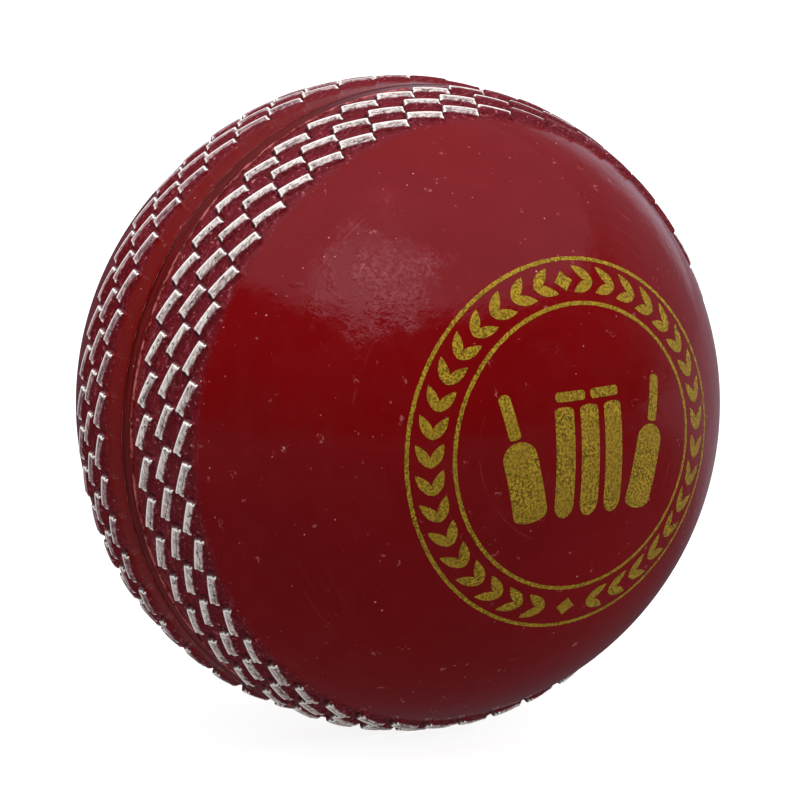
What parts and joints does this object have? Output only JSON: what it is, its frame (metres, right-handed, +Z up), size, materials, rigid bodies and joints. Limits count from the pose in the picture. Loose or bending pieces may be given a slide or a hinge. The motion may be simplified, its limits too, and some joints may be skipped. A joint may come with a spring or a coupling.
{
  "type": "cricket ball",
  "caption": "Hard ball for cricket: two moulded covers with raised stitch ribs and a weld strip over a layered cork and yarn core.",
  "frame": {"origin": "centre of the ball", "axes": "+X is the ball's axis, square to the seam, through the pole of the crested right-hand cover; the seam runs round the ball in the Y-Z plane; +Z is up"},
  "size_m": [0.072, 0.0732, 0.0732],
  "materials": {
    "core_nucleus": "cork granules bound in rubber",
    "cork_inner_left": "agglomerated cork",
    "cork_inner_right": "agglomerated cork",
    "winding_inner": "wool yarn",
    "cork_outer_left": "agglomerated cork",
    "cork_outer_right": "agglomerated cork",
    "winding_outer": "wool yarn",
    "cover_left": "glossy red moulded PVC",
    "cover_right": "glossy red moulded PVC",
    "seam_weld": "red PVC bead, flush",
    "stitch_paint": "off-white paint on the tops of the stitch ribs, worn",
    "gold_foil": "gold foil stamping, grainy"
  },
  "bodies": {
    "root": {"core_nucleus": "core_nucleus", "cork_inner_left": "cork_inner_left", "cork_inner_right": "cork_inner_right", "winding_inner": "winding_inner", "cork_outer_left": "cork_outer_left", "cork_outer_right": "cork_outer_right", "winding_outer": "winding_outer", "cover_left": "cover_left", "cover_right": "cover_right", "seam_weld": "seam_weld"}
  },
  "joints": []
}
